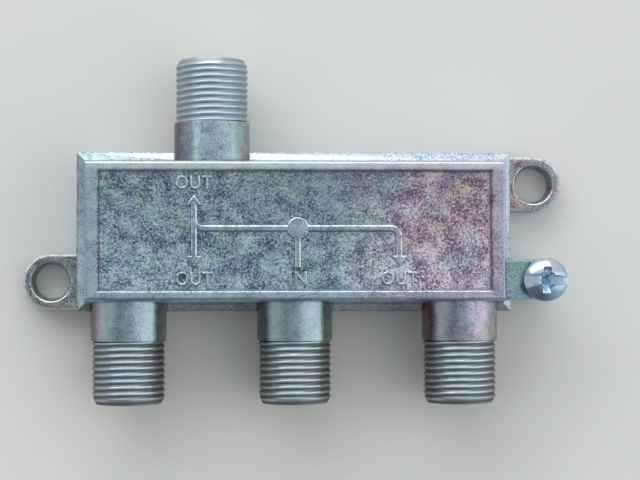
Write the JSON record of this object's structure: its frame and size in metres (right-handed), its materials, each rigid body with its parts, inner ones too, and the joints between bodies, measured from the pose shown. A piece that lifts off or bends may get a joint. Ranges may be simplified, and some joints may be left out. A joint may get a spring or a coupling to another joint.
{
  "type": "coaxial splitter",
  "caption": "Die-cast coaxial cable splitter with threaded ports along both long sides, mounting ears at opposite corners and a grounding lug with a screw.",
  "frame": {"origin": "midway between the two mounting holes, on the back plane that meets the wall", "axes": "+X along the box towards the grounding lug, +Y towards the single upper port, +Z out through the front face"},
  "size_m": [0.0704, 0.0438, 0.0144],
  "materials": {
    "cast_zinc": "satin",
    "cover_steel": "satin",
    "board": "matte",
    "insulator_plastic": "satin",
    "contact_brass": "satin",
    "ferrite": "matte",
    "winding_wire": "gloss",
    "resistor_coat": "satin",
    "capacitor_coat": "satin",
    "solder": "satin",
    "screw_plating": "satin"
  },
  "bodies": {
    "casting": {"housing": "cast_zinc", "rear_cover": "cover_steel", "circuit_board": "board", "insulator_in": "insulator_plastic", "contact_in": "contact_brass", "insulator_out_left": "insulator_plastic", "contact_out_left": "contact_brass", "insulator_out_right": "insulator_plastic", "contact_out_right": "contact_brass", "insulator_out_top": "insulator_plastic", "contact_out_top": "contact_brass", "input_transformer_core": "ferrite", "input_transformer_winding": "winding_wire", "first_hybrid_core": "ferrite", "first_hybrid_winding": "winding_wire", "second_transformer_core": "ferrite", "second_transformer_winding": "winding_wire", "second_hybrid_core": "ferrite", "second_hybrid_winding": "winding_wire", "first_isolation_resistor": "resistor_coat", "second_isolation_resistor": "resistor_coat", "input_capacitor": "capacitor_coat", "first_balance_capacitor": "capacitor_coat", "second_balance_capacitor": "capacitor_coat", "solder_joints": "solder"},
    "screw": {"ground_screw": "screw_plating"}
  },
  "joints": [
    {"name": "ground_screw_travel", "type": "slide", "parent": "casting", "child": "screw", "axis": [0, 0, 1], "range_m": [0, 0.0028]}
  ]
}
